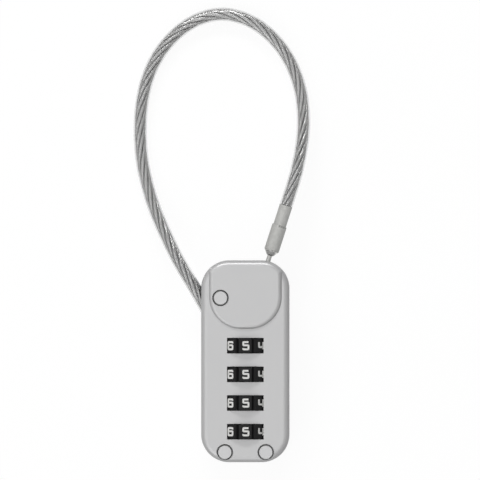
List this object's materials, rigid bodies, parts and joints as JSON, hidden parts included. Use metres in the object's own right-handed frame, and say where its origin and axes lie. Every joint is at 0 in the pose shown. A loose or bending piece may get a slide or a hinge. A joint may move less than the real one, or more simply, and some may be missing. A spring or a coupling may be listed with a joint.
{
  "type": "cable combination lock",
  "caption": "Small dial combination lock with a captive loop of jacketed steel rope that ends in a ferrule and locking pin.",
  "frame": {"origin": "middle of the back face, which the lock lies on", "axes": "+Z out of the front face with the dials, +Y along the case towards the cable, +X to the right seen from the front"},
  "size_m": [0.0531, 0.1367, 0.0174],
  "materials": {
    "case": "satin grey paint on die-cast zinc",
    "rivet": "grey paint, flush rivet heads",
    "dial": "black moulded plastic with white figures",
    "sleeve": "sintered steel, oiled",
    "works": "zinc plated",
    "spring": "bright drawn spring steel",
    "pin": "turned, nickel plated",
    "ferrule": "matt nickel plated, crimped",
    "rope": "galvanised strands",
    "jacket": "clear soft jacket"
  },
  "bodies": {
    "case": {"front_case": "case", "back_case": "case", "case_rivet_upper": "rivet", "case_rivet_lower_left": "rivet", "case_rivet_lower_right": "rivet", "sleeve_spring": "spring", "spindle_spring": "spring", "detent_spring": "spring", "pin_spring": "spring", "anchor_sleeve": "ferrule", "cable_rope": "rope", "cable_jacket": "jacket"},
    "dial_1": {"dial_1": "dial"},
    "dial_2": {"dial_2": "dial"},
    "dial_3": {"dial_3": "dial"},
    "dial_4": {"dial_4": "dial"},
    "sleeve_1": {"gate_sleeve_1": "sleeve"},
    "sleeve_2": {"gate_sleeve_2": "sleeve"},
    "sleeve_3": {"gate_sleeve_3": "sleeve"},
    "sleeve_4": {"gate_sleeve_4": "sleeve"},
    "spindle": {"spindle": "works", "blocking_fork": "works", "thrust_washer": "works"},
    "plug": {"locking_pin": "pin", "ferrule": "ferrule"}
  },
  "joints": [
    {"name": "dial_1_turn", "type": "hinge", "parent": "case", "child": "dial_1", "pos_m": [0, 0.0047, 0.00955], "axis": [0, 1, 0], "continuous": true, "deforming": ["detent_spring"]},
    {"name": "dial_2_turn", "type": "hinge", "parent": "case", "child": "dial_2", "pos_m": [0, -0.0039, 0.00955], "axis": [0, 1, 0], "continuous": true, "deforming": ["detent_spring"]},
    {"name": "dial_3_turn", "type": "hinge", "parent": "case", "child": "dial_3", "pos_m": [0, -0.0125, 0.00955], "axis": [0, 1, 0], "continuous": true, "deforming": ["detent_spring"]},
    {"name": "dial_4_turn", "type": "hinge", "parent": "case", "child": "dial_4", "pos_m": [0, -0.0211, 0.00955], "axis": [0, 1, 0], "continuous": true, "deforming": ["detent_spring"]},
    {"name": "code_change", "type": "slide", "parent": "case", "child": "spindle", "axis": [0, 1, 0], "range_m": [0, 0.0012], "stiffness_N_per_m": 600, "deforming": ["sleeve_spring", "spindle_spring"]},
    {"name": "sleeve_1_shift", "type": "slide", "parent": "dial_1", "child": "sleeve_1", "axis": [0, 1, 0], "range_m": [0, 0.0012]},
    {"name": "sleeve_2_shift", "type": "slide", "parent": "dial_2", "child": "sleeve_2", "axis": [0, 1, 0], "range_m": [0, 0.0012]},
    {"name": "sleeve_3_shift", "type": "slide", "parent": "dial_3", "child": "sleeve_3", "axis": [0, 1, 0], "range_m": [0, 0.0012]},
    {"name": "sleeve_4_shift", "type": "slide", "parent": "dial_4", "child": "sleeve_4", "axis": [0, 1, 0], "range_m": [0, 0.0012]},
    {"name": "plug_pull", "type": "slide", "parent": "case", "child": "plug", "axis": [0.309, 0.9511, 0], "range_m": [0, 0.012], "deforming": ["pin_spring", "cable_rope", "cable_jacket"]}
  ],
  "couplings": [
    {"joint": "sleeve_1_shift", "follows": "code_change", "ratio": 1},
    {"joint": "sleeve_2_shift", "follows": "code_change", "ratio": 1},
    {"joint": "sleeve_3_shift", "follows": "code_change", "ratio": 1},
    {"joint": "sleeve_4_shift", "follows": "code_change", "ratio": 1}
  ]
}
